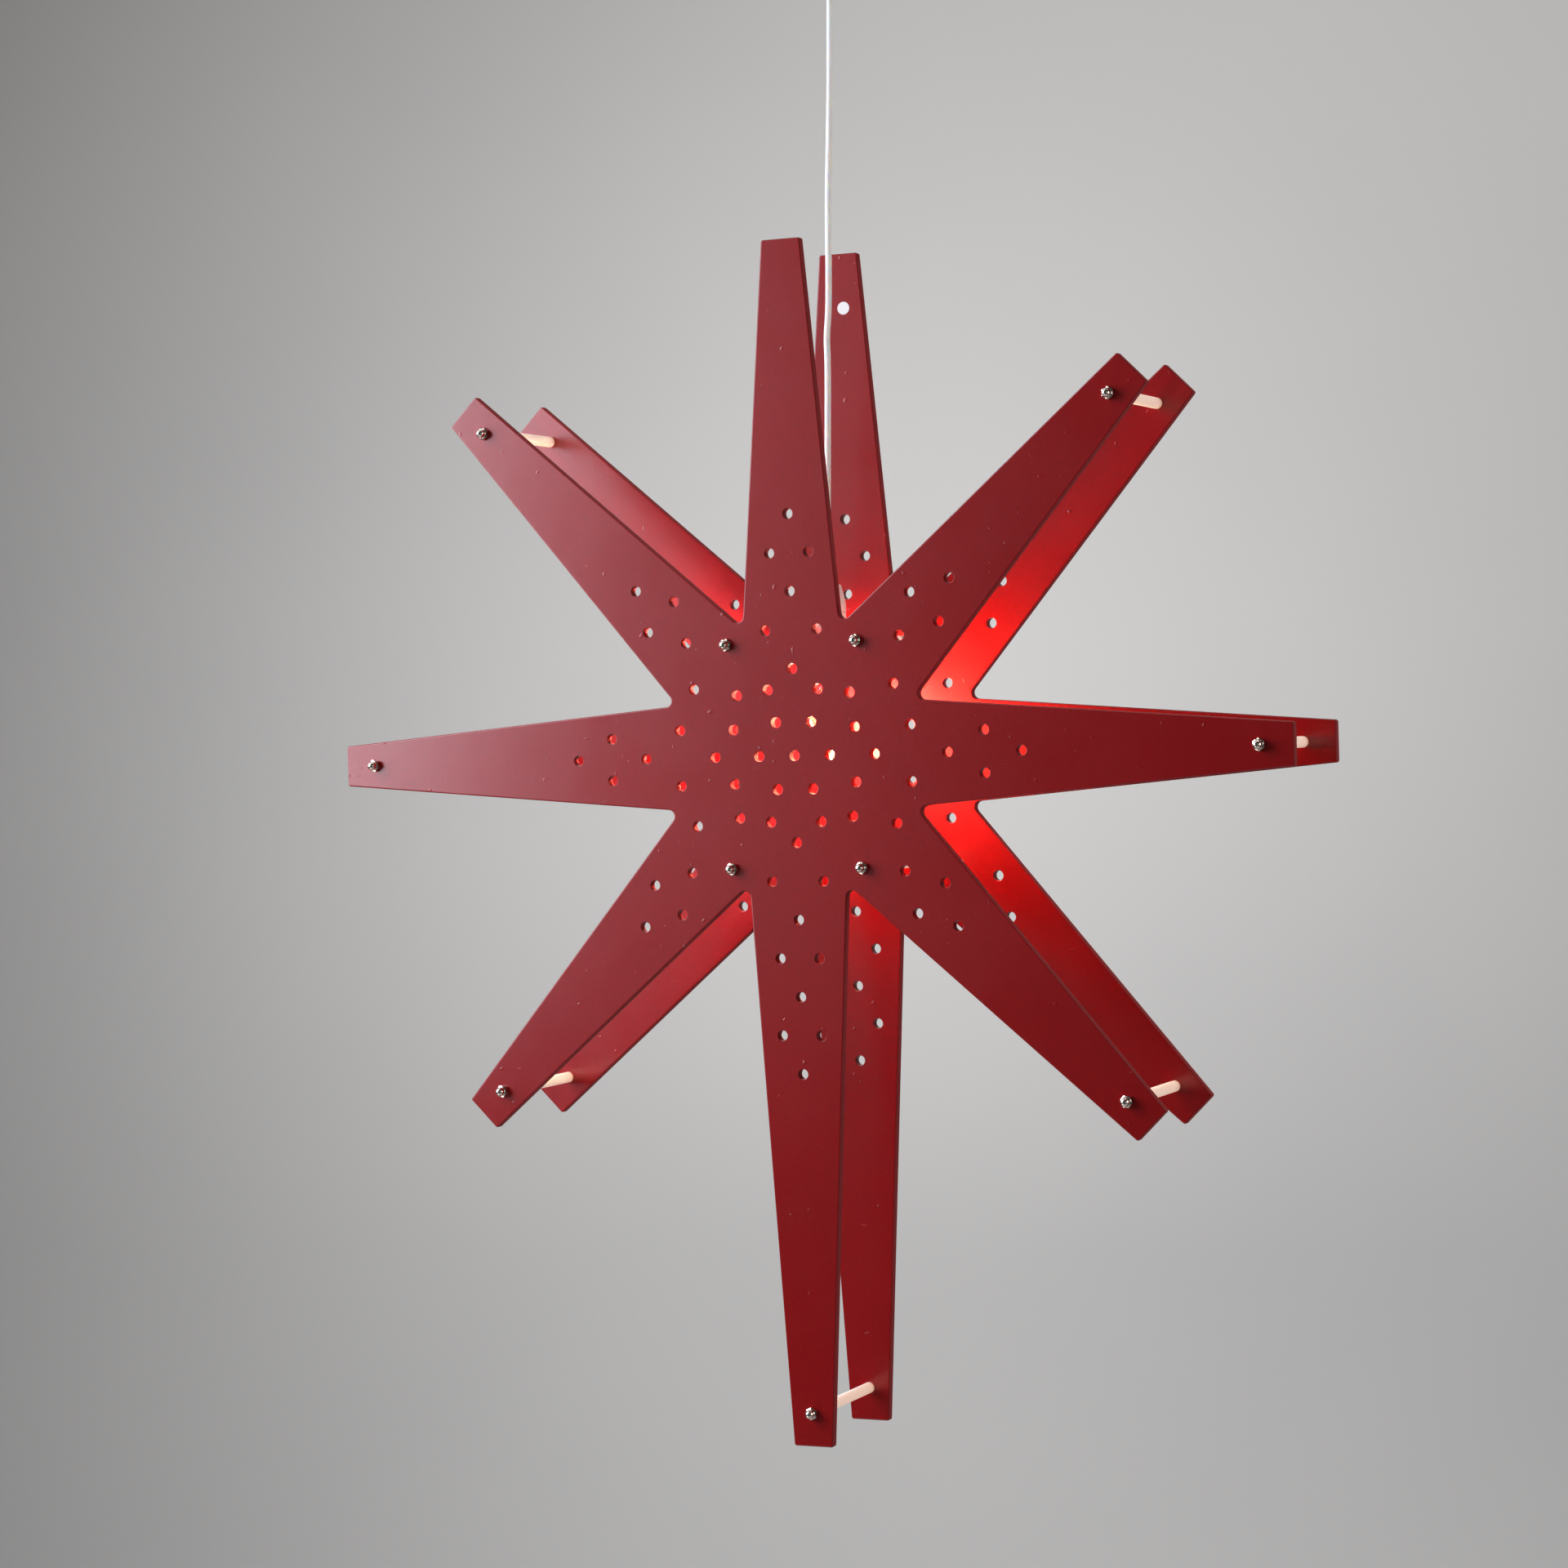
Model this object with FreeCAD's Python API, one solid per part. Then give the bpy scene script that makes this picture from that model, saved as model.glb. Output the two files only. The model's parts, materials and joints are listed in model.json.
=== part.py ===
import FreeCAD, Part
import math
import os

# Hanging star lantern: two eight-pointed plates, held apart by tube spacers, round one lit bulb.
# Row frame, in millimetres: the origin is on the ceiling, +Z is up along the plumb cord, and the
# front plate faces -Y. The plates, spacers and bolts are drawn in the star's own axes (origin at the
# middle of the star, X across, Z along the top arm) and hung() puts them where they hang.

V = FreeCAD.Vector
UP = V(0, 0, 1)

# --- star plates ------------------------------------------------------------------------------
ARMS = 8
ARM_REACH = 320.0           # centre to the end of the seven equal arms
LONG_REACH = 430.0          # centre to the end of the lower arm
LOWER_ARM = 6               # arms are counted anticlockwise from +X, every 45 degrees
TOP_ARM = 2
TIP_WIDTH = 26.0
TIP_CORNER_R = 1.4
NOTCH_REACH = 86.3          # centre to the sharp corner between two arms
NOTCH_R = 4.0
PLATE_T = 6.0
EDGE_R = 0.9
GAP = 85.0                  # between the inner faces
INNER_Y = GAP / 2
OUTER_Y = INNER_Y + PLATE_T

# --- light holes ------------------------------------------------------------------------------
LIGHT_HOLE_R = 3.25
RINGS = [(24.0, 6, 0.0), (44.4, 8, 22.5), (54.0, 8, 0.0)]      # radius, count, first angle
ROW_PITCH = 24.0
FIRST_ROW = 78.0            # first row of holes on an arm, from the centre
WIDE_PAIR = 17.4            # half spacing of the first pair
NARROW_PAIR = 13.2          # half spacing of the later pairs

# --- bolts and spacers ------------------------------------------------------------------------
TIP_BOLT_INSET = 21.0
INNER_BOLT_X = 44.0
INNER_BOLT_Z = 70.0
SCREW_R = 2.0
SCREW_LENGTH = 100.0
BOLT_HOLE_R = 2.2
SPACER_R = 3.5
SPACER_BORE_R = 2.2
NUT_ACROSS_FLATS = 7.0
NUT_HEX_H = 3.2
NUT_DOME_R = 2.75
NUT_H = 7.8
NUT_BORE_R = 2.05
NUT_BORE_DEPTH = 5.5
TIP_NUT_TURNS = {0: 4, 1: 4, 3: -3, 4: 15, 5: 18, 6: -5, 7: 22}   # degrees, one per arm
INNER_NUT_TURNS = [0, -12, 10, 20]
LABEL_X = 3.0
LABEL_Z = 285.0
LABEL_R = 4.1
LABEL_T = 0.2

# --- how the star hangs -----------------------------------------------------------------------
TILT = 2.0                  # the bracket's shelf is 2 degrees out of square, so the star leans
GRIP_OFFSET_X = 5.33        # cord axis at the cord grip's mouth, in the star's axes
GRIP_OFFSET_Z = 122.0

# --- ceiling end ------------------------------------------------------------------------------
CUP_R = 45.0
CUP_STRAIGHT = 28.0
CUP_H = 75.0
CUP_T = 2.0
OUTLET_R = 8.0
STRAP_T = 1.5
STRAP_W = 12.0
STRAP_HALF = 42.4
EAR_H = 11.0
CEILING_SCREW_X = 28.0
CEILING_HOLE_R = 2.3
CUP_SCREW_Z = -7.0
CUP_SCREW_R = 1.45
HOOK_WIRE_R = 1.7
HOOK_X = 7.0
HOOK_BOTTOM = -27.0         # wire's centre line
HOOK_TIP = -15.0
LINK_R = 7.0
LINK_WIRE_R = 1.2
LINK_CLEARANCE = 0.3
LINK_TOP = HOOK_BOTTOM + HOOK_WIRE_R + LINK_WIRE_R + LINK_CLEARANCE
LINK_BOTTOM = LINK_TOP - 2 * LINK_R
EYE_HOLE_R = 1.95
EYE_R = 4.6
EYE_T = 3.2
HANGER_R = 4.5
HANGER_TOP = LINK_BOTTOM - 4.2
HANGER_BOTTOM = HANGER_TOP - 17.0
BLOCK_Y = 18.0              # terminal block, behind the cord hanger
BLOCK_SIZE = (16.0, 12.0, 10.0)
TERMINAL_X = 4.0
TERMINAL_Y = 3.0
LEAD_R = 0.8

# --- cord -------------------------------------------------------------------------------------
CORD_R = 2.0
CORD_DROP = 375.0           # from the cup's outlet to the cord grip
GRIP_Z = -(CUP_H + CORD_DROP)
CORD_TOP = HANGER_BOTTOM + 9.0
# Height above the cord grip's mouth, and the sideways set left in the cord.
CORD_SET = [(340.0, 0.0), (290.0, 0.3), (228.0, -0.8), (190.0, -0.1), (140.0, -0.8), (80.0, -0.2),
            (30.0, 0.0)]
CORD_END = GRIP_Z - 12.0

# --- lamp holder, downwards from the cord grip's mouth -----------------------------------------
GRIP_R = 4.7
CAP_TOP = GRIP_Z - 15.0
SEAM_Z = GRIP_Z - 32.6
HOLDER_R = 11.8
HOLDER_T = 1.6
HOLDER_BOTTOM = GRIP_Z - 70.0
SHELF_TOP = GRIP_Z - 46.0
SHELF_T = 1.5
SHELF_HALF_X = 18.0
SHELF_FRONT_Y = -18.0
FLANGE_Y = 20.0             # middle of the bracket's upright flange
FLANGE_HALF_X = 51.0
FLANGE_DROP = 8.0
FLANGE_RISE = 3.5
RING_NUT_R = 16.5
RING_NUT_H = 4.0
INSERT_TOP = GRIP_Z - 38.0
INSERT_BOTTOM = GRIP_Z - 46.0
SHELL_R = 7.6
SHELL_BORE_R = 7.15
SHELL_BOTTOM = GRIP_Z - 65.0
CONTACT_SCREW_X = 6.2

# --- bulb -------------------------------------------------------------------------------------
BULB_TIP_Z = GRIP_Z - 48.0
BULB_CAP_TOP = BULB_TIP_Z - 5.0
BULB_CAP_R = 6.8
BULB_CAP_BOTTOM = GRIP_Z - 71.0
GLASS_T = 0.8
GLASS_NECK_R = 6.38
# Radius, and depth below the cord grip's mouth.
GLASS_SHAPE = [(6.5, 73.5), (8.8, 80.5), (13.3, 89.0), (16.6, 97.0), (17.5, 105.0), (16.8, 115.0),
               (14.4, 126.0), (10.6, 136.0), (5.6, 144.2)]
GLASS_BOTTOM = GRIP_Z - 148.0
FILAMENTS = 4
FILAMENT_R = 0.9
FILAMENT_TURN = 24.0
FILAMENT_LOW = (2.0, GRIP_Z - 126.0)       # radius and height of the lower ends
FILAMENT_HIGH = (12.0, GRIP_Z - 98.0)
STEM_TIP = GRIP_Z - 94.0


# --- helpers ----------------------------------------------------------------------------------
def box(x_range, y_range, z_range):
    size = [x_range[1] - x_range[0], y_range[1] - y_range[0], z_range[1] - z_range[0]]
    return Part.makeBox(size[0], size[1], size[2], V(x_range[0], y_range[0], z_range[0]))


def rod(start, end, radius):
    return Part.makeCylinder(radius, (end - start).Length, start, end - start)


def lathe(start, *steps):
    """Turns a closed profile about Z. A step is (r, z), or (mid r, mid z, r, z) for an arc."""
    edges = []
    here = V(start[0], 0, start[1])
    for step in steps + (start,):
        there = V(step[-2], 0, step[-1])
        if len(step) == 4:
            edges.append(Part.Arc(here, V(step[0], 0, step[1]), there).toShape())
        elif (there - here).Length > 1e-6:
            edges.append(Part.makeLine(here, there))
        here = there
    face = Part.Face(Part.Wire(edges))
    return face.revolve(V(0, 0, 0), UP, 360)


def pipe(points, radius, bend=None):
    """A round tube on straight runs joined by tangent arcs; returns it and the arcs' radii."""
    edges = []
    radii = []
    here = points[0]
    for before, corner, after in zip(points, points[1:], points[2:]):
        run_in = corner - before
        run_out = after - corner
        turn = run_in.getAngle(run_out)
        shorter = min(run_in.Length, run_out.Length)
        arc_r = bend or 0.45 * shorter / math.tan(turn / 2)
        cut = arc_r * math.tan(turn / 2)
        into = V(run_in).normalize()
        out_of = V(run_out).normalize()
        arc_start = corner - into * cut
        arc_end = corner + out_of * cut
        inward = (out_of - into).normalize()
        middle = corner + inward * (arc_r / math.cos(turn / 2) - arc_r)
        edges.append(Part.makeLine(here, arc_start))
        edges.append(Part.Arc(arc_start, middle, arc_end).toShape())
        radii.append(arc_r)
        here = arc_end
    edges.append(Part.makeLine(here, points[-1]))
    path = Part.Wire(edges)
    first_run = points[1] - points[0]
    section = Part.Wire(Part.makeCircle(radius, points[0], first_run))
    return path.makePipeShell([section], True, False), radii


def ring_of(count, radius, first_angle=0.0):
    for k in range(count):
        angle = math.radians(first_angle + 360.0 * k / count)
        yield radius * math.cos(angle), radius * math.sin(angle)


def hung(shape):
    """Moves a shape from the star's own axes to where the star hangs."""
    placed = shape.copy()
    placed.rotate(V(0, 0, 0), V(0, 1, 0), -TILT)
    lean = math.radians(TILT)
    grip_x = GRIP_OFFSET_X * math.cos(lean) - GRIP_OFFSET_Z * math.sin(lean)
    grip_z = GRIP_OFFSET_X * math.sin(lean) + GRIP_OFFSET_Z * math.cos(lean)
    placed.translate(V(-grip_x, 0, GRIP_Z - grip_z))
    return placed


def save(node, shape):
    if not shape.isValid():
        raise ValueError(node + " is not a valid shape")
    shape.exportStep("parts/" + node + ".step")
    print(node, len(shape.Solids), round(shape.Volume, 1))


# --- plates -----------------------------------------------------------------------------------
def arm_point(arm, along, across=0.0):
    """A point on an arm, along its middle line and to its anticlockwise side."""
    angle = math.radians(360.0 / ARMS * arm)
    x = along * math.cos(angle) - across * math.sin(angle)
    z = along * math.sin(angle) + across * math.cos(angle)
    return x, z


def arm_reach(arm):
    return LONG_REACH if arm == LOWER_ARM else ARM_REACH


def light_holes():
    holes = [(0.0, 0.0)]
    for radius, count, first_angle in RINGS:
        holes += list(ring_of(count, radius, first_angle))
    for arm in range(ARMS):
        rows = 6 if arm == LOWER_ARM else 4
        for row in range(rows):
            along = FIRST_ROW + row * ROW_PITCH
            if row % 2 == 1:
                holes.append(arm_point(arm, along))
                continue
            across = WIDE_PAIR if row == 0 else NARROW_PAIR
            for side in (1, -1):
                # On the slanting arms an inner bolt takes the place nearest the upright arms.
                bolt_side = 1 if arm in (1, 5) else -1
                takes_bolt = row == 0 and arm % 2 == 1 and side == bolt_side
                if not takes_bolt:
                    holes.append(arm_point(arm, along, side * across))
    return holes


def tip_bolts():
    arms = [arm for arm in range(ARMS) if arm != TOP_ARM]
    return {arm: arm_point(arm, arm_reach(arm) - TIP_BOLT_INSET) for arm in arms}


def inner_bolts():
    return [(sx * INNER_BOLT_X, sz * INNER_BOLT_Z) for sz in (1, -1) for sx in (1, -1)]


def through_edges(blank, nearest, furthest):
    """The edges that run through a plate, between two distances from the star's middle."""
    found = []
    for edge in blank.Edges:
        middle = edge.CenterOfMass
        if edge.BoundBox.YLength > PLATE_T / 2 and nearest < math.hypot(middle.x, middle.z) < furthest:
            found.append(edge)
    return found


def plate(y_low):
    corners = []
    for arm in range(ARMS):
        reach = arm_reach(arm)
        corners.append(arm_point(arm, reach, -TIP_WIDTH / 2))
        corners.append(arm_point(arm, reach, TIP_WIDTH / 2))
        corners.append(arm_point(arm + 0.5, NOTCH_REACH))
    outline = Part.makePolygon([V(x, y_low, z) for x, z in corners + corners[:1]])
    blank = Part.Face(outline).extrude(V(0, PLATE_T, 0))
    blank = blank.makeFillet(TIP_CORNER_R, through_edges(blank, ARM_REACH / 2, LONG_REACH * 2))
    blank = blank.makeFillet(NOTCH_R, through_edges(blank, 0, ARM_REACH / 2))
    rims = [edge for edge in blank.Edges if edge.BoundBox.YLength < 0.01]
    blank = blank.makeFillet(EDGE_R, rims)
    holes = [(x, z, LIGHT_HOLE_R) for x, z in light_holes()]
    holes += [(x, z, BOLT_HOLE_R) for x, z in list(tip_bolts().values()) + inner_bolts()]
    drills = [rod(V(x, y_low - 1, z), V(x, y_low + PLATE_T + 1, z), radius) for x, z, radius in holes]
    return blank.cut(drills)


def spacer(x, z, y_low, y_high):
    tube = rod(V(x, y_low, z), V(x, y_high, z), SPACER_R)
    return tube.cut(rod(V(x, y_low - 1, z), V(x, y_high + 1, z), SPACER_BORE_R))


def acorn_nut(x, z, turn):
    """A hexagon with chamfered corners and a dome, standing on the front plate."""
    corner_r = NUT_ACROSS_FLATS / math.sqrt(3)
    corners = [V(px, py, 0) for px, py in ring_of(6, corner_r, 90)]
    hexagon = Part.makePolygon(corners + corners[:1])
    nut = Part.Face(hexagon).extrude(V(0, 0, NUT_HEX_H))
    chamfer = 0.3
    flat_r = NUT_ACROSS_FLATS / 2
    turned = lathe((0, 0), (corner_r, 0), (corner_r, NUT_HEX_H - chamfer), (flat_r, NUT_HEX_H),
                   (0, NUT_HEX_H))
    dome_z = NUT_H - NUT_DOME_R
    slant = NUT_DOME_R * math.sqrt(0.5)
    dome = lathe((0, NUT_HEX_H - 0.5), (NUT_DOME_R, NUT_HEX_H - 0.5), (NUT_DOME_R, dome_z),
                 (slant, dome_z + slant, 0, NUT_H))
    nut = nut.common(turned).fuse(dome).cut(Part.makeCylinder(NUT_BORE_R, NUT_BORE_DEPTH))
    nut.rotate(V(0, 0, 0), UP, turn)
    nut.rotate(V(0, 0, 0), V(1, 0, 0), 90)
    nut.translate(V(x, -OUTER_Y, z))
    return nut


def machine_screw(x, z):
    """A pan-head screw from behind; its end is inside the acorn nut."""
    head_r = 4.0
    head_h = 3.1
    dome_r = 5.0
    dome = Part.makeSphere(dome_r, V(0, 0, head_h - dome_r))
    head = Part.makeCylinder(head_r, head_h).common(dome)
    cross_half = 2.2
    cross_half_w = 0.45
    cross_depth = 1.7
    for dx, dy in ((cross_half, cross_half_w), (cross_half_w, cross_half)):
        head = head.cut(box((-dx, dx), (-dy, dy), (head_h - cross_depth, head_h + 1)))
    screw = head.fuse(Part.makeCylinder(SCREW_R, SCREW_LENGTH, V(0, 0, -SCREW_LENGTH)))
    screw.rotate(V(0, 0, 0), V(1, 0, 0), -90)
    screw.translate(V(x, OUTER_Y, z))
    return screw


def save_star():
    save("front_plate", hung(plate(-OUTER_Y)))
    save("back_plate", hung(plate(INNER_Y)))
    names = {0: "right", 1: "upper_right", 3: "upper_left", 4: "left", 5: "lower_left", 6: "bottom",
             7: "lower_right"}
    for arm, (x, z) in tip_bolts().items():
        save("tip_spacer_" + names[arm], hung(spacer(x, z, -INNER_Y, INNER_Y)))
    bracket_front = FLANGE_Y - SHELF_T / 2
    bracket_back = FLANGE_Y + SHELF_T / 2
    for side, x in (("right", INNER_BOLT_X), ("left", -INNER_BOLT_X)):
        save("inner_spacer_lower_" + side, hung(spacer(x, -INNER_BOLT_Z, -INNER_Y, INNER_Y)))
        save("inner_spacer_long_" + side, hung(spacer(x, INNER_BOLT_Z, -INNER_Y, bracket_front)))
        save("inner_spacer_short_" + side, hung(spacer(x, INNER_BOLT_Z, bracket_back, INNER_Y)))
    nuts = [acorn_nut(x, z, TIP_NUT_TURNS[arm]) for arm, (x, z) in tip_bolts().items()]
    nuts += [acorn_nut(x, z, turn) for (x, z), turn in zip(inner_bolts(), INNER_NUT_TURNS)]
    save("acorn_nuts", hung(Part.makeCompound(nuts)))
    screws = [machine_screw(x, z) for x, z in list(tip_bolts().values()) + inner_bolts()]
    save("machine_screws", hung(Part.makeCompound(screws)))
    label = rod(V(LABEL_X, INNER_Y, LABEL_Z), V(LABEL_X, INNER_Y - LABEL_T, LABEL_Z), LABEL_R)
    save("round_label", hung(label))


# --- lamp bracket and holder -------------------------------------------------------------------
def lamp_bracket():
    """An angle: its upright flange is square to the bolts, and its shelf is level."""
    flange_y = (FLANGE_Y - SHELF_T / 2, FLANGE_Y + SHELF_T / 2)
    flange = box((-FLANGE_HALF_X, FLANGE_HALF_X), flange_y,
                 (INNER_BOLT_Z - FLANGE_DROP, INNER_BOLT_Z + FLANGE_RISE))
    corners = [edge for edge in flange.Edges if abs(edge.Length - SHELF_T) < 0.01]
    flange = flange.makeFillet(3.0, corners)
    for x in (-INNER_BOLT_X, INNER_BOLT_X):
        drill = rod(V(x, flange_y[0] - 1, INNER_BOLT_Z), V(x, flange_y[1] + 1, INNER_BOLT_Z), BOLT_HOLE_R)
        flange = flange.cut(drill)
    wide = (-SHELF_HALF_X, SHELF_HALF_X)
    upright = box(wide, flange_y, (SHELF_TOP - FLANGE_DROP, SHELF_TOP))
    shelf = box(wide, (SHELF_FRONT_Y, flange_y[1]), (SHELF_TOP - SHELF_T, SHELF_TOP))
    bracket = hung(flange).fuse([upright, shelf])
    holder_clearance = 0.3
    hole = Part.makeCylinder(HOLDER_R + holder_clearance, SHELF_T * 3, V(0, 0, SHELF_TOP - SHELF_T * 2))
    return bracket.cut(hole).removeSplitter()


def ring_nut(z_low):
    """A nut with a chamfered, finger-grooved rim, on the outside thread of the holder."""
    z_high = z_low + RING_NUT_H
    bore_r = HOLDER_R + 0.02
    chamfer = 0.5
    nut = lathe((bore_r, z_low), (RING_NUT_R - chamfer, z_low), (RING_NUT_R, z_low + chamfer),
                (RING_NUT_R, z_high - chamfer), (RING_NUT_R - chamfer, z_high), (bore_r, z_high))
    groove_r = 1.2
    grooves = []
    for x, y in ring_of(16, RING_NUT_R + 0.5):
        grooves.append(Part.makeCylinder(groove_r, RING_NUT_H + 2, V(x, y, z_low - 1)))
    return nut.cut(grooves)


def holder_cap():
    """A thin cone-shaped cap with a rounded shoulder and a collar round the cord grip."""
    inner_r = HOLDER_R - HOLDER_T
    collar_r = GRIP_R + 0.02
    collar_bottom = CAP_TOP - 2.5
    outside = [(HOLDER_R, GRIP_Z - 29.5), (10.45, GRIP_Z - 21.6, 8.6, GRIP_Z - 15.6), (8.0, CAP_TOP)]
    inside = [(collar_r, CAP_TOP), (collar_r, collar_bottom), (7.0, collar_bottom),
              (8.9, GRIP_Z - 23.0, inner_r, GRIP_Z - 29.5), (inner_r, SEAM_Z)]
    return lathe((HOLDER_R, SEAM_Z), *(outside + inside))


def cord_grip():
    """A nipple: a close lip round the cord, a wider bore below it and a flange inside the cap."""
    flange_top = CAP_TOP - 4.4
    flange_r = 6.2
    lip_bottom = GRIP_Z - 3.0
    tail = GRIP_Z - 23.0
    lip_r = CORD_R + 0.08
    bore_r = 2.7
    round_r = 0.6
    inset = round_r * (1 - math.sqrt(0.5))
    return lathe((lip_r, GRIP_Z), (GRIP_R - round_r, GRIP_Z),
                 (GRIP_R - inset, GRIP_Z - inset, GRIP_R, GRIP_Z - round_r),
                 (GRIP_R, flange_top), (flange_r, flange_top), (flange_r, tail), (bore_r, tail),
                 (bore_r, lip_bottom), (lip_r, lip_bottom))


def holder_body():
    """A tube with an outside thread for the ring nuts and a turned-in lower rim."""
    top = SEAM_Z - 0.25
    thread_top = GRIP_Z - 38.0
    thread_pitch = 2.0
    root_r = HOLDER_R - 0.45
    outside = [(HOLDER_R, top), (HOLDER_R, thread_top)]
    for turn in range(10):
        crest = thread_top - turn * thread_pitch
        outside += [(root_r, crest - 0.5), (root_r, crest - 1.0), (HOLDER_R, crest - 1.5)]
    chamfer = 0.8
    rim_r = 9.2
    rim_top = HOLDER_BOTTOM + 2.0
    inner_r = HOLDER_R - HOLDER_T
    outside += [(HOLDER_R, HOLDER_BOTTOM + chamfer), (HOLDER_R - chamfer, HOLDER_BOTTOM)]
    inside = [(rim_r, HOLDER_BOTTOM), (rim_r, rim_top), (inner_r, rim_top), (inner_r, top)]
    return lathe(*(outside + inside))


def contact_insert(screw_seats):
    """The ceramic disc that carries the contacts, with screw holes and a centre recess."""
    insert_r = HOLDER_R - HOLDER_T - 0.02
    insert = Part.makeCylinder(insert_r, INSERT_TOP - INSERT_BOTTOM, V(0, 0, INSERT_BOTTOM))
    for x, y in screw_seats:
        insert = insert.cut(Part.makeCylinder(1.55, 5, V(x, y, INSERT_TOP - 4)))
    return insert.cut(Part.makeCylinder(3.4, 4.2, V(0, 0, INSERT_BOTTOM - 0.1)))


def contact_screw(x, y):
    head_h = 1.6
    slot_z = INSERT_TOP + 0.9
    head = Part.makeCylinder(2.4, head_h, V(x, y, INSERT_TOP))
    head = head.cut(box((x - 3, x + 3), (y - 0.3, y + 0.3), (slot_z, slot_z + 2)))
    return head.fuse(Part.makeCylinder(1.5, 4, V(x, y, INSERT_TOP - 4)))


def save_holder():
    save("lamp_bracket", lamp_bracket())
    save("upper_ring_nut", ring_nut(SHELF_TOP))
    save("lower_ring_nut", ring_nut(SHELF_TOP - SHELF_T - RING_NUT_H))
    save("holder_cap", holder_cap())
    save("cord_grip", cord_grip())
    save("holder_body", holder_body())
    screw_seats = list(ring_of(2, CONTACT_SCREW_X))
    save("contact_insert", contact_insert(screw_seats))
    save("contact_screws", Part.makeCompound([contact_screw(x, y) for x, y in screw_seats]))
    lip_r = 8.0
    shell = lathe((SHELL_BORE_R, INSERT_BOTTOM), (SHELL_R, INSERT_BOTTOM), (SHELL_R, SHELL_BOTTOM + 1),
                  (lip_r + 0.4, SHELL_BOTTOM), (lip_r, SHELL_BOTTOM), (SHELL_BORE_R, SHELL_BOTTOM + 1))
    save("threaded_shell", shell)
    tongue_x = 2.5
    tongue_z = INSERT_BOTTOM - 1.2
    tongue, _ = pipe([V(-tongue_x, 0, INSERT_BOTTOM + 4.05), V(-tongue_x, 0, tongue_z),
                      V(tongue_x, 0, tongue_z)], 0.6, 1.0)
    save("centre_contact", tongue)
    for name, side in (("brown_lead", 1), ("blue_lead", -1)):
        points = [V(side * 1.0, 0, CORD_END - 0.4), V(side * 1.0, 0, CORD_END - 10.5),
                  V(side * 5.6, 0, INSERT_TOP + 6.0), V(side * CONTACT_SCREW_X, 0, INSERT_TOP + 1.9)]
        lead, _ = pipe(points, LEAD_R)
        save(name, lead)


# --- bulb -------------------------------------------------------------------------------------
def glass_profile(inset):
    """The candle shape as a smooth curve from its neck to its rounded end, moved inwards by inset."""
    outline = [(GLASS_NECK_R, BULB_CAP_BOTTOM + 3.0)]
    outline += [(radius, GRIP_Z - depth) for radius, depth in GLASS_SHAPE]
    outline.append((0.0, GLASS_BOTTOM))
    stations = [V(outline[0][0] - inset, 0, outline[0][1])]
    for before, (radius, z), after in zip(outline, outline[1:], outline[2:]):
        slope = math.atan2(before[0] - after[0], before[1] - after[1])
        stations.append(V(radius - inset * math.cos(slope), 0, z + inset * math.sin(slope)))
    stations.append(V(0, 0, GLASS_BOTTOM + inset))
    curve = Part.BSplineCurve()
    curve.interpolate(Points=stations, InitialTangent=V(0, 0, -1), FinalTangent=V(-1, 0, 0))
    return curve.toShape(), stations[0], stations[-1]


def bulb_glass():
    outer, outer_neck, outer_end = glass_profile(0.0)
    inner, inner_neck, inner_end = glass_profile(GLASS_T)
    edges = [outer, Part.makeLine(outer_end, inner_end), inner, Part.makeLine(inner_neck, outer_neck)]
    face = Part.Face(Part.Wire(Part.__sortEdges__(edges)))
    return face.revolve(V(0, 0, 0), UP, 360)


def filament_ends():
    low = list(ring_of(FILAMENTS, FILAMENT_LOW[0], FILAMENT_TURN))
    high = list(ring_of(FILAMENTS, FILAMENT_HIGH[0], FILAMENT_TURN))
    return [(V(a[0], a[1], FILAMENT_LOW[1]), V(b[0], b[1], FILAMENT_HIGH[1])) for a, b in zip(low, high)]


def bulb_cap():
    """The threaded cap as a thin turned shell, flared where it meets the glass."""
    inner_r = BULB_CAP_R - 0.4
    eye_r = 5.2
    flare_z = BULB_CAP_BOTTOM + 2.0
    return lathe((eye_r, BULB_CAP_TOP), (6.0, BULB_CAP_TOP), (BULB_CAP_R, BULB_CAP_TOP - 0.8),
                 (BULB_CAP_R, flare_z), (7.4, BULB_CAP_BOTTOM), (7.0, BULB_CAP_BOTTOM),
                 (inner_r, flare_z), (inner_r, BULB_CAP_TOP - 0.9), (eye_r, BULB_CAP_TOP - 0.4))


def save_bulb():
    contact_bottom = BULB_TIP_Z - 2.0
    contact = lathe((0, BULB_TIP_Z), (2.4, BULB_TIP_Z - 0.6), (2.4, contact_bottom), (0, contact_bottom))
    save("bulb_contact", contact)
    insulator = lathe((0, contact_bottom), (3.0, contact_bottom), (5.9, BULB_CAP_TOP), (0, BULB_CAP_TOP))
    save("bulb_insulator", insulator)
    save("bulb_cap_shell", bulb_cap())
    save("bulb_glass", bulb_glass())
    stem_foot = BULB_CAP_BOTTOM + 3.0
    stem = lathe((0, stem_foot), (GLASS_NECK_R - GLASS_T, stem_foot), (2.2, GRIP_Z - 80.0), (1.6, STEM_TIP),
                 (0, STEM_TIP))
    save("bulb_stem", stem)
    ends = filament_ends()
    filaments = [rod(low, high, FILAMENT_R) for low, high in ends]
    save("bulb_filaments", Part.makeCompound(filaments))
    hub = V(0, 0, FILAMENT_LOW[1] - 2.0)
    wires = rod(V(0, 0, STEM_TIP), hub, 0.5)
    wire_r = 0.35
    for low, high in ends:
        root = V(high.x * 0.1, high.y * 0.1, STEM_TIP + 3.0)
        past_end = high + (high - low).normalize() * 0.2
        wires = wires.fuse([rod(hub, low, wire_r), rod(root, past_end, wire_r)])
    save("bulb_wires", wires.cut([stem] + filaments))


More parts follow.
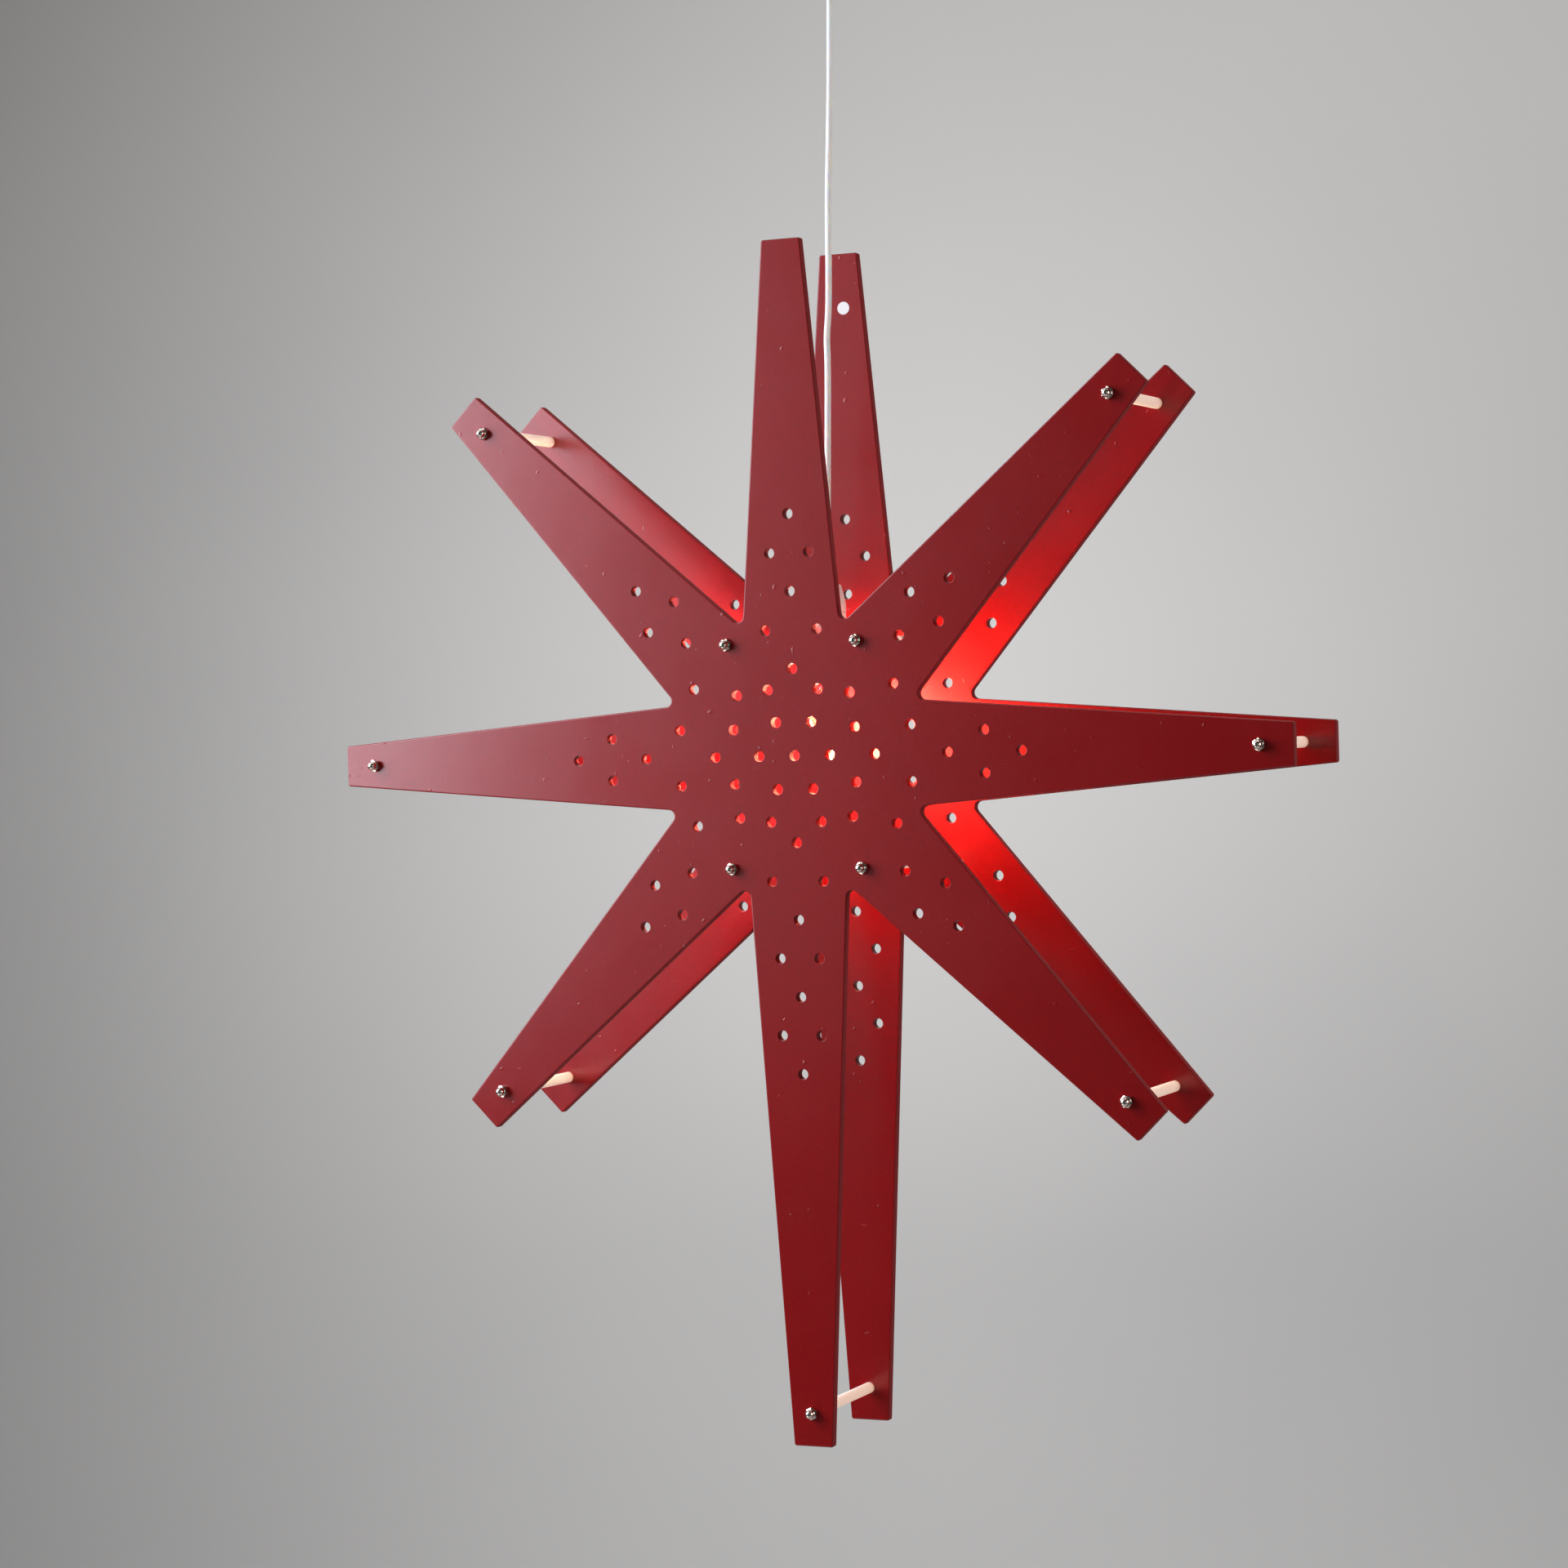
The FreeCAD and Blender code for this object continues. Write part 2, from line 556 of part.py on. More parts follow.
# --- ceiling end and cord ----------------------------------------------------------------------
def ceiling_cup():
    """A thin cup, straight at the ceiling and rounded below, with a flared outlet."""
    low = -CUP_H
    cup = lathe((CUP_R, 0), (CUP_R, -CUP_STRAIGHT), (35.5, -56.0, OUTLET_R + 4, low + 1.5),
                (OUTLET_R + 3.2, low), (OUTLET_R + 1, low), (OUTLET_R, low + 1.2), (OUTLET_R, low + 3.2),
                (OUTLET_R + 3.6, low + 3.6), (33.6, -54.6, CUP_R - CUP_T, -CUP_STRAIGHT), (CUP_R - CUP_T, 0))
    for side in (1, -1):
        cup = cup.cut(side_drill(side, CUP_SCREW_R + 0.15))
    return cup


def side_drill(side, radius):
    return rod(V(side * 30, 0, CUP_SCREW_Z), V(side * 50, 0, CUP_SCREW_Z), radius)


def ceiling_bracket():
    """A strap with an ear at each end for the cup's screws and two holes for the ceiling's."""
    half_w = STRAP_W / 2
    strap = box((-STRAP_HALF, STRAP_HALF), (-half_w, half_w), (-STRAP_T, 0))
    for side in (1, -1):
        ear_x = sorted((side * (STRAP_HALF - STRAP_T), side * STRAP_HALF))
        strap = strap.fuse(box(ear_x, (-half_w, half_w), (-EAR_H, 0)))
        strap = strap.cut(side_drill(side, CUP_SCREW_R + 0.05))
        hole = rod(V(side * CEILING_SCREW_X, 0, -5), V(side * CEILING_SCREW_X, 0, 1), CEILING_HOLE_R)
        strap = strap.cut(hole)
    return strap.removeSplitter()


def cup_screw(side):
    shank = rod(V(side * 37, 0, CUP_SCREW_Z), V(side * CUP_R, 0, CUP_SCREW_Z), CUP_SCREW_R)
    head = rod(V(side * CUP_R, 0, CUP_SCREW_Z), V(side * (CUP_R + 1.8), 0, CUP_SCREW_Z), 2.8)
    slot_x = sorted((side * (CUP_R + 0.9), side * (CUP_R + 3)))
    slot_half = 0.35
    slot = box(slot_x, (-3.5, 3.5), (CUP_SCREW_Z - slot_half, CUP_SCREW_Z + slot_half))
    return shank.fuse(head).cut(slot)


def cord_hanger():
    """A moulded strain relief: an eye for the ring above a barrel that grips the cord."""
    eye = rod(V(0, -EYE_T / 2, LINK_BOTTOM), V(0, EYE_T / 2, LINK_BOTTOM), EYE_R)
    neck = box((-3.2, 3.2), (-EYE_T / 2, EYE_T / 2), (HANGER_TOP - 1, LINK_BOTTOM))
    barrel = lathe((0, HANGER_TOP), (HANGER_R - 1, HANGER_TOP), (HANGER_R, HANGER_TOP - 1),
                   (HANGER_R, HANGER_BOTTOM + 3), (CORD_R + 0.9, HANGER_BOTTOM), (0, HANGER_BOTTOM))
    hanger = eye.fuse([neck, barrel])
    hanger = hanger.cut(rod(V(0, -EYE_T, LINK_BOTTOM), V(0, EYE_T, LINK_BOTTOM), EYE_HOLE_R))
    bore = Part.makeCylinder(CORD_R + 0.01, CORD_TOP - HANGER_BOTTOM + 1, V(0, 0, HANGER_BOTTOM - 1))
    return hanger.cut(bore)


def terminal_seats():
    return [(x, BLOCK_Y + y) for x in (-TERMINAL_X, TERMINAL_X) for y in (-TERMINAL_Y, TERMINAL_Y)]


def terminal_block():
    """Two through bores for the wires, each with two wells for its screws."""
    half_z = BLOCK_SIZE[2] / 2
    corner = V(-BLOCK_SIZE[0] / 2, BLOCK_Y - BLOCK_SIZE[1] / 2, CORD_TOP - half_z)
    block = Part.makeBox(*BLOCK_SIZE, corner)
    for x in (-TERMINAL_X, TERMINAL_X):
        block = block.cut(rod(V(x, BLOCK_Y - 7, CORD_TOP), V(x, BLOCK_Y + 7, CORD_TOP), 1.6))
    wells = [Part.makeCylinder(1.65, half_z + 1, V(x, y, CORD_TOP)) for x, y in terminal_seats()]
    return block.cut(wells)


def terminal_screw(x, y):
    slot_z = CORD_TOP + 2.9
    grub = Part.makeCylinder(1.6, 2.8, V(x, y, CORD_TOP + LEAD_R + 0.02))
    return grub.cut(box((x - 2, x + 2), (y - 0.25, y + 0.25), (slot_z, slot_z + 2)))


def supply_lead(x, hanger):
    points = [V(x * 0.4, HANGER_R - 1.0, CORD_TOP), V(x * 0.4, HANGER_R + 2.5, CORD_TOP),
              V(x, BLOCK_Y - 8.5, CORD_TOP), V(x, BLOCK_Y - TERMINAL_Y, CORD_TOP)]
    lead, _ = pipe(points, LEAD_R)
    return lead.cut(hanger)


def save_ceiling_end():
    save("ceiling_cup", ceiling_cup())
    save("ceiling_bracket", ceiling_bracket())
    save("cup_screws", Part.makeCompound([cup_screw(side) for side in (1, -1)]))
    hook_points = [V(HOOK_X, 0, -STRAP_T), V(HOOK_X, 0, HOOK_BOTTOM), V(-HOOK_X, 0, HOOK_BOTTOM),
                   V(-HOOK_X, 0, HOOK_TIP)]
    hook, _ = pipe(hook_points, HOOK_WIRE_R, HOOK_X - 0.2)
    save("ceiling_hook", hook.fuse(Part.makeSphere(HOOK_WIRE_R, hook_points[-1])))
    save("hanger_ring", Part.makeTorus(LINK_R, LINK_WIRE_R, V(0, 0, LINK_TOP - LINK_R), V(1, 0, 0)))
    hanger = cord_hanger()
    save("cord_hanger", hanger)
    save("terminal_block", terminal_block())
    save("terminal_screws", Part.makeCompound([terminal_screw(x, y) for x, y in terminal_seats()]))
    leads = [supply_lead(x, hanger) for x in (-TERMINAL_X, TERMINAL_X)]
    save("supply_leads", Part.makeCompound(leads))


def save_cord():
    points = [V(0, 0, CORD_TOP)]
    points += [V(across, 0, GRIP_Z + height) for height, across in CORD_SET]
    points.append(V(0, 0, CORD_END))
    cord, radii = pipe(points, CORD_R)
    save("pendant_cord", cord)
    runs = [(after - before).Length for before, after in zip(points, points[1:])]
    print("cord runs", [round(run, 1) for run in runs], "radii", [round(radius) for radius in radii])
    section = math.pi * CORD_R ** 2
    print("cord length", round(sum(runs), 1), "volume / section", round(cord.Volume / section, 1))


os.makedirs("parts", exist_ok=True)
save_star()
save_holder()
save_bulb()
save_ceiling_end()
save_cord()
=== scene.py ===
import bmesh
import bpy
import json
import math
from mathutils import Matrix, Vector
from mathutils.geometry import tessellate_polygon

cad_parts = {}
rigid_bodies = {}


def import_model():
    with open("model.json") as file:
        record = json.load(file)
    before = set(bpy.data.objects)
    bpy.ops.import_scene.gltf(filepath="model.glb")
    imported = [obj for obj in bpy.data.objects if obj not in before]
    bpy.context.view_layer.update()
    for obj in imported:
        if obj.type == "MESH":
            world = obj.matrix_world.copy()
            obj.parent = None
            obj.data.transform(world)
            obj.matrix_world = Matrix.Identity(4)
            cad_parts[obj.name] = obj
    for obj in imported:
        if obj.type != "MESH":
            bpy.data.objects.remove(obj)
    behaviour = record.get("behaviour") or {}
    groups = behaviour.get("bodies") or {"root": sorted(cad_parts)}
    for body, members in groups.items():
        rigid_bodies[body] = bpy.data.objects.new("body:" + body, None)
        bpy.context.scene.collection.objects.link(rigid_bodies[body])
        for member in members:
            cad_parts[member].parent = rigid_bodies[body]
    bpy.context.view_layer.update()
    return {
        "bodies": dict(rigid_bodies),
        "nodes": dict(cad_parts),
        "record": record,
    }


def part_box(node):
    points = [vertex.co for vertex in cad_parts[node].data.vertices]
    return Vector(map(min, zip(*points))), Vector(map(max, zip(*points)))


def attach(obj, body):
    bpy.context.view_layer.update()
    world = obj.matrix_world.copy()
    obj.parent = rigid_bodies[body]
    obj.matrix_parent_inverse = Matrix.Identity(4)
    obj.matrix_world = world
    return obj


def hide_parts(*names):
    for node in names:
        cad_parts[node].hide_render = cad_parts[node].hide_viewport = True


# Hanging star lantern. Metres, in the CAD's frame: the origin is on the ceiling, +Z up along the
# plumb cord, and the front plate faces -Y.

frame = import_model()
scene = bpy.context.scene
nodes = frame["nodes"]

MM = 0.001
OUTER_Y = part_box("back_plate")[1].y          # outer and inner faces of the back plate
INNER_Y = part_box("back_plate")[0].y
GRIP_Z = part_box("cord_grip")[1].z            # mouth of the cord grip, where the star hangs
TILT = 2.0                                   # degrees that the star leans
GRIP_IN_STAR = Vector((5.33 * MM, 0.0, 122.0 * MM))     # the same mouth in the star's own axes
# From the star's own axes (origin at its middle, Z along the top arm) to where it hangs.
HUNG = Matrix.Translation((0, 0, GRIP_Z)) @ Matrix.Rotation(math.radians(-TILT), 4, "Y")
HUNG = HUNG @ Matrix.Translation(-GRIP_IN_STAR)
STAR = HUNG.translation


# --- camera -----------------------------------------------------------------------------------
def aim(obj, place, target, roll=0.0):
    """Puts obj at place, looking at target, turned by roll degrees about its own line of sight."""
    turn = (Vector(target) - Vector(place)).to_track_quat("-Z", "Y").to_matrix().to_4x4()
    obj.matrix_world = Matrix.Translation(place) @ turn @ Matrix.Rotation(math.radians(roll), 4, "Z")


CAMERA_PLACE = (0.9276, -2.1470, -0.5193)    # in front of the star, on its right, about level with it
CAMERA_TARGET = (-0.0079, -0.0485, -0.5898)
CAMERA_ROLL = 0.205                          # degrees
camera = bpy.data.objects.new("camera", bpy.data.cameras.new("camera"))
scene.collection.objects.link(camera)
scene.camera = camera
camera.data.lens = 85.0
camera.data.sensor_width = 36.0
camera.data.clip_start = 0.05
camera.data.clip_end = 50.0
aim(camera, CAMERA_PLACE, CAMERA_TARGET, CAMERA_ROLL)


# --- cord -------------------------------------------------------------------------------------
CORD_R = 0.002
# The route in part.py, in metres, across and height, with two points more at its small kink.
CORD_ROUTE = [(0.0, -0.050), (0.0, -0.110), (0.0003, -0.160), (-0.0008, -0.222), (-0.0001, -0.260),
              (0.0001, -0.294), (-0.0013, -0.3095), (-0.0003, -0.325), (-0.0002, -0.370), (0.0, -0.420),
              (0.0, -0.462)]
POINT_R = 0.02                               # the points' own radius, which scales the bevel

line = bpy.data.curves.new("pendant_cord_line", "CURVE")
line.dimensions = "3D"
line.bevel_depth = CORD_R / POINT_R
line.bevel_resolution = 6
line.resolution_u = 24
line.use_fill_caps = True
spline = line.splines.new("NURBS")
spline.points.add(len(CORD_ROUTE) - 1)
for point, (across, height) in zip(spline.points, CORD_ROUTE):
    point.co = (across, 0.0, height, 1.0)
    point.radius = POINT_R
spline.order_u = 3
spline.use_endpoint_u = True
cord = bpy.data.objects.new("cord_line", line)
scene.collection.objects.link(cord)
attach(cord, "pendant")
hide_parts("pendant_cord")


# --- materials --------------------------------------------------------------------------------
def fill_ramp(band, stops):
    """Gives a colour ramp its stops of (position, colour), from low to high."""
    for position, colour in stops[2:]:
        band.elements.new(position)
    for element, (position, colour) in zip(band.elements, stops):
        element.position = position
        element.color = (*colour, 1.0)


class Paint:
    """A Principled material with helpers for object-space noise."""

    def __init__(self, name, **sockets):
        self.material = bpy.data.materials.new(name)
        self.material.use_nodes = True
        self.tree = self.material.node_tree
        self.shader = self.tree.nodes["Principled BSDF"]
        coordinates = self.tree.nodes.new("ShaderNodeTexCoord")
        self.place = coordinates.outputs["Object"]
        self.facing = coordinates.outputs["Normal"]
        self.bumped = None
        for socket, value in sockets.items():
            self.shader.inputs[socket.replace("_", " ")].default_value = value

    def node(self, kind, **settings):
        made = self.tree.nodes.new(kind)
        for key, value in settings.items():
            setattr(made, key, value)
        return made

    def link(self, source, target):
        self.tree.links.new(source, target)

    def noise(self, scale, detail=3.0, rough=0.55, stretch=None):
        made = self.node("ShaderNodeTexNoise")
        made.inputs["Scale"].default_value = scale
        made.inputs["Detail"].default_value = detail
        made.inputs["Roughness"].default_value = rough
        source = self.place
        if stretch:
            mapping = self.node("ShaderNodeMapping")
            mapping.inputs["Scale"].default_value = stretch
            self.link(source, mapping.inputs["Vector"])
            source = mapping.outputs["Vector"]
        self.link(source, made.inputs["Vector"])
        return made.outputs["Fac"]

    def spread(self, source, low, high, low_in=0.3, high_in=0.7):
        made = self.node("ShaderNodeMapRange")
        made.inputs["From Min"].default_value = low_in
        made.inputs["From Max"].default_value = high_in
        made.inputs["To Min"].default_value = low
        made.inputs["To Max"].default_value = high
        self.link(source, made.inputs["Value"])
        return made.outputs["Result"]

    def ramp(self, source, *stops):
        made = self.node("ShaderNodeValToRGB")
        fill_ramp(made.color_ramp, stops)
        self.link(source, made.inputs["Fac"])
        return made.outputs["Color"]

    def mix(self, factor, first, second, mode="MIX"):
        made = self.node("ShaderNodeMix", data_type="RGBA", blend_type=mode)
        # The node has sockets of the same name for every type, and only its colour ones are enabled.
        for socket, value in (("Factor", factor), ("A", first), ("B", second)):
            spot = [s for s in made.inputs if s.name == socket and s.enabled][0]
            if isinstance(value, bpy.types.NodeSocket):
                self.link(value, spot)
            else:
                spot.default_value = value if socket == "Factor" else (*value, 1.0)
        return [s for s in made.outputs if s.enabled][0]

    def bump(self, height, distance, strength=1.0):
        made = self.node("ShaderNodeBump")
        made.inputs["Strength"].default_value = strength
        made.inputs["Distance"].default_value = distance
        self.link(height, made.inputs["Height"])
        if self.bumped:
            self.link(self.bumped, made.inputs["Normal"])
        self.bumped = made.outputs["Normal"]
        self.link(self.bumped, self.shader.inputs["Normal"])

    def into(self, socket, source):
        self.link(source, self.shader.inputs[socket])


def red_paint(name, edge_roughness):
    """Satin paint on board: fine orange peel, faint spray mottle and a few dust nibs. The cut edges, which
    don't face along Y, are duller and streaked, where the board drank the paint."""
    p = Paint(name, IOR=1.5, Specular_IOR_Level=0.6)
    mottle = p.noise(9.0, 4.0)
    fine = p.noise(420.0, 2.0)
    body = p.ramp(mottle, (0.30, (0.262, 0.0014, 0.0028)), (0.70, (0.288, 0.0020, 0.0036)))
    specks = p.ramp(fine, (0.36, (0.86, 0.86, 0.86)), (0.52, (1.0, 1.0, 1.0)))
    body = p.mix(0.5, body, specks, "MULTIPLY")
    facing = p.node("ShaderNodeSeparateXYZ")
    p.link(p.facing, facing.inputs["Vector"])
    flat = p.node("ShaderNodeMath", operation="ABSOLUTE")
    p.link(facing.outputs["Y"], flat.inputs[0])
    edge = p.spread(flat.outputs["Value"], 1.0, 0.0, 0.55, 0.95)
    fibre = p.noise(160.0, 5.0, 0.7, (1.0, 6.0, 1.0))
    edge_tone = p.ramp(fibre, (0.35, (0.22, 0.0014, 0.0030)), (0.7, (0.28, 0.0020, 0.0040)))
    p.into("Base Color", p.mix(edge, body, edge_tone))
    gloss = p.spread(p.noise(30.0, 3.0), 0.240, 0.270)
    rough = p.node("ShaderNodeMix", data_type="FLOAT")      # its inputs 0, 2 and 3 are factor, A and B
    p.link(edge, rough.inputs[0])
    p.link(gloss, rough.inputs[2])
    rough.inputs[3].default_value = edge_roughness
    p.into("Roughness", rough.outputs[0])
    p.bump(p.noise(1100.0, 2.0), 0.00002, 0.8)
    p.bump(p.noise(60.0, 2.0), 0.0001, 0.5)
    p.bump(p.spread(p.noise(230.0, 0.0), 0.0, 1.0, 0.80, 0.86), 0.00015, 0.8)
    return p.material


def metal(name, tone, roughness, scratch=0.06, grain=900.0, stretch=None, dull=0.8):
    """Plated or bare metal with fine wear in its gloss and faint spots in its tone."""
    p = Paint(name, Metallic=1.0)
    spots = p.noise(350.0, 4.0)
    darker = tuple(channel * dull for channel in tone)
    p.into("Base Color", p.ramp(spots, (0.30, darker), (0.60, tone)))
    p.into("Roughness", p.spread(p.noise(grain, 3.0, 0.6, stretch), roughness, roughness + scratch))
    p.bump(p.noise(grain, 2.0, 0.5, stretch), 0.00001, 0.35)
    return p.material


def plastic(name, tone, shade, roughness, grain=600.0, depth=0.00002, subsurface=0.0, reach=0.002, glow=0.0):
    """Moulded plastic: a slight cloudiness, fine mould texture and uneven gloss. A glow is painted
    light: an emission that stands in for the lamp's warm light soaking through it."""
    p = Paint(name, IOR=1.48, Subsurface_Weight=subsurface)
    if subsurface:
        p.shader.inputs["Subsurface Scale"].default_value = reach
        p.shader.inputs["Subsurface Radius"].default_value = (1.0, 0.8, 0.6)
    # Painted light: the emission stands in for the lamp's warm light shining through the plastic.
    if glow:
        p.shader.inputs["Emission Color"].default_value = (1.0, 0.52, 0.30, 1.0)
        p.shader.inputs["Emission Strength"].default_value = glow
    p.into("Base Color", p.ramp(p.noise(45.0, 4.0), (0.30, shade), (0.70, tone)))
    p.into("Roughness", p.spread(p.noise(200.0, 3.0), roughness - 0.04, roughness + 0.06))
    p.bump(p.noise(grain, 2.0), depth, 0.7)
    return p.material


def glass(name, tint=(1.0, 1.0, 1.0), roughness=0.0):
    """Clear glass that lets the lamp's light through, with faint dust in its gloss."""
    p = Paint(name, Transmission_Weight=1.0, IOR=1.47)
    p.into("Base Color", p.ramp(p.noise(60.0, 3.0), (0.3, tuple(0.975 * c for c in tint)), (0.7, tint)))
    p.into("Roughness", p.spread(p.noise(120.0, 3.0), roughness, roughness + 0.03, 0.45, 0.8))
    p.bump(p.noise(35.0, 1.0), 0.00015, 0.4)
    clear = p.node("ShaderNodeBsdfTransparent")
    through = p.node("ShaderNodeMixShader")
    p.link(p.node("ShaderNodeLightPath").outputs["Is Shadow Ray"], through.inputs["Fac"])
    p.link(p.shader.outputs["BSDF"], through.inputs[1])
    p.link(clear.outputs["BSDF"], through.inputs[2])
    output = [n for n in p.tree.nodes if n.type == "OUTPUT_MATERIAL"][0]
    p.link(through.outputs["Shader"], output.inputs["Surface"])
    return p.material


def glowing_filament():
    """A coated filament that glows, its tone varying in fine grains."""
    p = Paint("filament", Roughness=0.6)
    grains = p.noise(1500.0, 3.0)
    p.into("Base Color", p.ramp(grains, (0.3, (0.9, 0.62, 0.25)), (0.7, (1.0, 0.78, 0.42))))
    p.into("Emission Color", p.ramp(grains, (0.3, (1.0, 0.60, 0.26)), (0.7, (1.0, 0.70, 0.36))))
    p.shader.inputs["Emission Strength"].default_value = 90.0
    return p.material


RED = red_paint("satin_red_paint", 0.85)
BORE_RED = red_paint("satin_red_bores", 0.48)    # the drilled holes are smoother than the sawn edges
NICKEL = metal("polished_nickel", (0.93, 0.85, 0.75), 0.05, 0.05)
STEEL = metal("zinc_plated_steel", (0.62, 0.63, 0.64), 0.24, 0.12)
SHEET = metal("zinc_plated_sheet", (0.60, 0.61, 0.63), 0.28, 0.16, 500.0, (1.0, 1.0, 8.0))
BRASS = metal("bright_brass", (0.83, 0.62, 0.28), 0.18, 0.12)
CAP = metal("rolled_cap", (0.72, 0.71, 0.69), 0.22, 0.10, 700.0, (1.0, 1.0, 10.0))
# The spacer tubes carry painted light: a warm emission in place of the lamp's light through them.
SPACER = plastic("matt_white_tube_painted_glow", (0.90, 0.84, 0.78), (0.86, 0.80, 0.74), 0.50, grain=900.0,
                 subsurface=1.0, reach=0.008, glow=0.36)
HOLDER = plastic("holder_plastic", (0.80, 0.79, 0.75), (0.76, 0.74, 0.70), 0.35, subsurface=0.1)
CUP = plastic("cup_plastic", (0.81, 0.81, 0.79), (0.77, 0.77, 0.75), 0.32)
CORD = plastic("white_cord_sheath", (0.96, 0.95, 0.94), (0.93, 0.92, 0.91), 0.40, grain=1400.0,
               depth=0.00001, subsurface=1.0, reach=0.004)
LABEL = plastic("blank_label", (0.95, 0.94, 0.92), (0.91, 0.90, 0.88), 0.6, grain=1800.0, depth=0.00003)
CERAMIC = plastic("unglazed_ceramic", (0.76, 0.74, 0.69), (0.70, 0.68, 0.62), 0.65, grain=1100.0,
                  depth=0.00004)
BROWN = plastic("brown_core", (0.16, 0.06, 0.025), (0.12, 0.045, 0.02), 0.4)
BLUE = plastic("blue_core", (0.03, 0.10, 0.38), (0.02, 0.08, 0.30), 0.4)
BLACK = plastic("black_glass", (0.012, 0.012, 0.014), (0.008, 0.008, 0.009), 0.15)

finishes = {
    "red_paint": RED, "spacer_plastic": SPACER, "nickel": NICKEL, "steel": STEEL,
    "zinc_steel": SHEET, "label_paper": LABEL, "holder_plastic": HOLDER, "insert_ceramic": CERAMIC,
    "brass": BRASS, "cap_metal": CAP, "black_glass": BLACK, "clear_glass": glass("bulb_clear_glass"),
    "stem_glass": glass("stem_glass_clear", (0.97, 0.99, 0.97), 0.05),
    "filament_glow": glowing_filament(), "bulb_wire": STEEL, "cup_plastic": CUP, "cord_white": CORD,
    "lead_brown": BROWN, "lead_blue": BLUE,
}
slots = {part["node"]: part["material_slot"] for part in frame["record"]["subparts"]}
for node, slot in slots.items():
    nodes[node].data.materials.clear()
    nodes[node].data.materials.append(finishes[slot])
line.materials.append(CORD)


# --- star's plates, nuts and screws ---------------------------------------------------------------
# The same pieces as in part.py, in its dimensions, with true round holes, soft rims and smooth domes.
ARMS = 8
TOP_ARM = 2
LOWER_ARM = 6                                # arms are counted anticlockwise from +X, every 45 degrees
ARM_REACH = 320.0 * MM
LONG_REACH = 430.0 * MM
TIP_WIDTH = 26.0 * MM
TIP_CORNER_R = 1.4 * MM
NOTCH_REACH = 86.3 * MM
NOTCH_R = 4.0 * MM
EDGE_R = 0.9 * MM
LIGHT_HOLE_R = 3.25 * MM
BOLT_HOLE_R = 2.2 * MM
HOLE_RIM_R = 0.3 * MM
EDGE_STEPS = 4                               # facets across a rounded edge, and across a hole's rim
RIM_STEPS = 2
TIP_CORNER_STEPS = 5                         # facets round a tip's corner, and round a notch
NOTCH_STEPS = 8
LIGHT_HOLE_SIDES = 40
BOLT_HOLE_SIDES = 28
RINGS = [(24.0 * MM, 6, 0.0), (44.4 * MM, 8, 22.5), (54.0 * MM, 8, 0.0)]      # radius, count, first angle
FIRST_ROW = 78.0 * MM
ROW_PITCH = 24.0 * MM
ROWS = 4                                     # of light holes on an arm, in pairs and single in turn
LONG_ROWS = 6                                # on the lower arm
WIDE_PAIR = 17.4 * MM
NARROW_PAIR = 13.2 * MM
TIP_BOLT_INSET = 21.0 * MM
INNER_BOLT_X = 44.0 * MM
INNER_BOLT_Z = 70.0 * MM
INNER_BOLTS = [(sx * INNER_BOLT_X, sz * INNER_BOLT_Z) for sz in (1, -1) for sx in (1, -1)]
TIP_NUT_TURNS = {0: 4, 1: 4, 3: -3, 4: 15, 5: 18, 6: -5, 7: 22}   # degrees, one per arm
INNER_NUT_TURNS = [0, -12, 10, 20]           # degrees, in the order of INNER_BOLTS
NUT_SIDES = 48
SCREW_SIDES = 40
SHARP = 26.0                                 # degrees between faces, above which their edge is sharp


def arm_point(arm, along, across=0.0):
    """A point on an arm, along its middle line and to its anticlockwise side, as (x, z)."""
    angle = math.radians(360.0 / ARMS * arm)
    return Vector((along * math.cos(angle) - across * math.sin(angle),
                   along * math.sin(angle) + across * math.cos(angle)))


def arm_reach(arm):
    return LONG_REACH if arm == LOWER_ARM else ARM_REACH


def light_holes():
    """The middles of the light holes, as (x, z): one at the star's middle, three rings and the arms' rows."""
    holes = [Vector((0.0, 0.0))]
    for radius, count, first_angle in RINGS:
        for k in range(count):
            angle = math.radians(first_angle + 360.0 * k / count)
            holes.append(radius * Vector((math.cos(angle), math.sin(angle))))
    for arm in range(ARMS):
        for row in range(LONG_ROWS if arm == LOWER_ARM else ROWS):
            along = FIRST_ROW + row * ROW_PITCH
            if row % 2 == 1:
                holes.append(arm_point(arm, along))
                continue
            across = WIDE_PAIR if row == 0 else NARROW_PAIR
            for side in (1, -1):
                # On the slanting arms an inner bolt takes the place nearest the upright arms.
                bolt_side = 1 if arm in (1, 5) else -1
                if not (row == 0 and arm % 2 == 1 and side == bolt_side):
                    holes.append(arm_point(arm, along, side * across))
    return holes


TIP_BOLTS = {arm: arm_point(arm, arm_reach(arm) - TIP_BOLT_INSET) for arm in range(ARMS) if arm != TOP_ARM}
BOLTS = list(TIP_BOLTS.values()) + [Vector(place) for place in INNER_BOLTS]


def star_outline():
    """The plate's outline, anticlockwise, as points with the directions that face out of the board."""
    corners = []
    for arm in range(ARMS):
        for side in (-1, 1):
            tip_corner = arm_point(arm, arm_reach(arm), side * TIP_WIDTH / 2)
            corners.append((tip_corner, TIP_CORNER_R, TIP_CORNER_STEPS))
        corners.append((arm_point(arm + 0.5, NOTCH_REACH), NOTCH_R, NOTCH_STEPS))
    loop = []
    for k, (corner, radius, steps) in enumerate(corners):
        run_in = (corner - corners[k - 1][0]).normalized()
        run_out = (corners[(k + 1) % len(corners)][0] - corner).normalized()
        turn = math.atan2(run_in.x * run_out.y - run_in.y * run_out.x, run_in.dot(run_out))
        bulge = math.copysign(radius, turn)
        facing = math.atan2(-run_in.x, run_in.y)
        start = corner - run_in * radius * math.tan(abs(turn) / 2)
        centre = start - bulge * Vector((math.cos(facing), math.sin(facing)))
        for step in range(steps + 1):
            angle = facing + turn * step / steps
            out = Vector((math.cos(angle), math.sin(angle)))
            loop.append((centre + bulge * out, out))
    return loop


